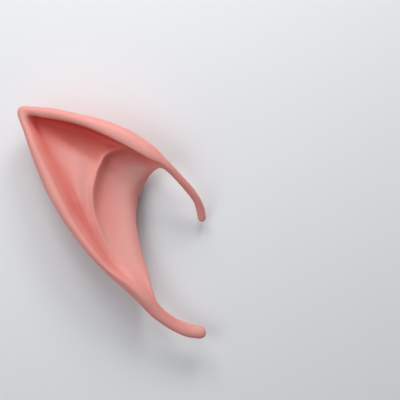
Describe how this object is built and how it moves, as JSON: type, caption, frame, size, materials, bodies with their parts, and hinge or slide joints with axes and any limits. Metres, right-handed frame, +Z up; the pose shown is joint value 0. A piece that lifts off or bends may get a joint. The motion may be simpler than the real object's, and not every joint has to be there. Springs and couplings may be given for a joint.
{
  "type": "elf ear tip",
  "caption": "Pointed slip-on latex elf ear with a rolled rim, a thin hook and a flat tail, hollow behind, lying face up.",
  "frame": {"origin": "centre of the bounding box's base, on the surface that the ear lies on", "axes": "+Z up, out of the ear's face; +Y along the ear's length from the tail to the tip; +X from the tip towards the open side with hook and tail"},
  "size_m": [0.0796, 0.0986, 0.0231],
  "materials": {
    "latex": "soft matt salmon-pink cast latex with a faint satin sheen"
  },
  "bodies": {
    "root": {"ear_shell": "latex"}
  },
  "joints": []
}
